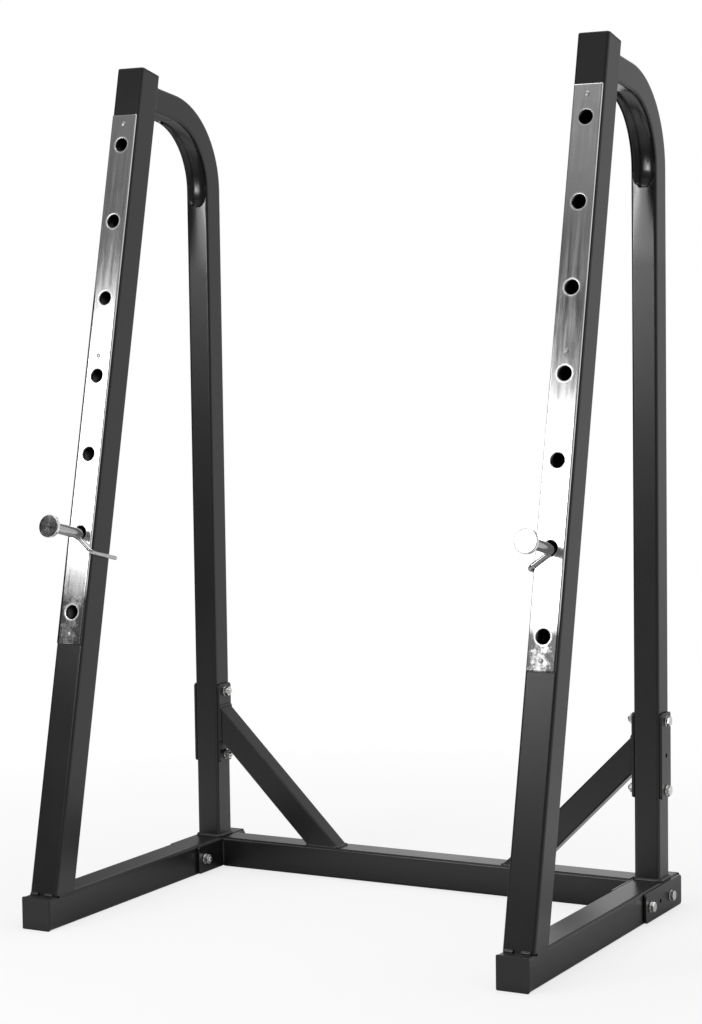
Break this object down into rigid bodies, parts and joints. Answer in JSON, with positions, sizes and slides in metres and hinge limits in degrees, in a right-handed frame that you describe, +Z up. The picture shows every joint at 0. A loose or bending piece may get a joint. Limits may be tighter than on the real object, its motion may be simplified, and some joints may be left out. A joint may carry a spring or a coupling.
{
  "type": "squat rack",
  "caption": "Squat rack of black square tube: leaning drilled uprights with polished plates, bent rear posts, a low crossmember and sliding bar pins with locking rods.",
  "frame": {"origin": "on the floor, in the middle of the rack's width and depth", "axes": "+X to the right seen from the front, +Y to the rear, +Z up"},
  "size_m": [1.0482, 0.6936, 1.5997],
  "materials": {
    "black_coat": "satin black powder coat on steel tube and plate",
    "chrome": "polished chrome plate",
    "zinc": "bright zinc-plated steel",
    "black_plastic": "matte black moulded plastic"
  },
  "bodies": {
    "frame": {"crossmember": "black_coat", "left_base_beam": "black_coat", "left_base_bracket_front_bolt": "zinc", "left_base_bracket_front_nut": "zinc", "left_base_bracket_rear_bolt": "zinc", "left_base_bracket_rear_nut": "zinc", "left_base_front_cap": "black_plastic", "left_base_inner_plate": "black_coat", "left_base_outer_plate": "black_coat", "left_base_rear_cap": "black_plastic", "left_brace": "black_coat", "left_front_upright": "black_coat", "left_hole_plate": "chrome", "left_lower_plate_rivet": "zinc", "left_middle_plate_rivet": "zinc", "left_rear_post": "black_coat", "left_upper_bracket_bottom_bolt": "zinc", "left_upper_bracket_bottom_nut": "zinc", "left_upper_bracket_top_bolt": "zinc", "left_upper_bracket_top_nut": "zinc", "left_upper_inner_plate": "black_coat", "left_upper_outer_plate": "black_coat", "left_upper_plate_rivet": "zinc", "left_upright_top_cap": "black_plastic", "right_base_beam": "black_coat", "right_base_bracket_front_bolt": "zinc", "right_base_bracket_front_nut": "zinc", "right_base_bracket_rear_bolt": "zinc", "right_base_bracket_rear_nut": "zinc", "right_base_front_cap": "black_plastic", "right_base_inner_plate": "black_coat", "right_base_outer_plate": "black_coat", "right_base_rear_cap": "black_plastic", "right_brace": "black_coat", "right_front_upright": "black_coat", "right_hole_plate": "chrome", "right_lower_plate_rivet": "zinc", "right_middle_plate_rivet": "zinc", "right_rear_post": "black_coat", "right_upper_bracket_bottom_bolt": "zinc", "right_upper_bracket_bottom_nut": "zinc", "right_upper_bracket_top_bolt": "zinc", "right_upper_bracket_top_nut": "zinc", "right_upper_inner_plate": "black_coat", "right_upper_outer_plate": "black_coat", "right_upper_plate_rivet": "zinc", "right_upright_top_cap": "black_plastic"},
    "left_pin": {"left_bar_pin": "chrome", "left_pin_end_disc": "chrome"},
    "left_rod": {"left_locking_rod": "chrome"},
    "right_pin": {"right_bar_pin": "chrome", "right_pin_end_disc": "chrome"},
    "right_rod": {"right_locking_rod": "chrome"}
  },
  "joints": [
    {"name": "left_pin_slide", "type": "slide", "parent": "frame", "child": "left_pin", "axis": [0, -0.9755, 0.2198], "range_m": [0, 0.07]},
    {"name": "left_rod_swing", "type": "hinge", "parent": "left_pin", "child": "left_rod", "pos_m": [-0.48, -0.17462, 0.71621], "axis": [0, -0.9755, 0.2198], "range_deg": [0, 90]},
    {"name": "right_pin_slide", "type": "slide", "parent": "frame", "child": "right_pin", "axis": [0, -0.9755, 0.2198], "range_m": [0, 0.07]},
    {"name": "right_rod_swing", "type": "hinge", "parent": "right_pin", "child": "right_rod", "pos_m": [0.48, -0.17462, 0.71621], "axis": [0, 0.9755, -0.2198], "range_deg": [0, 90]}
  ]
}
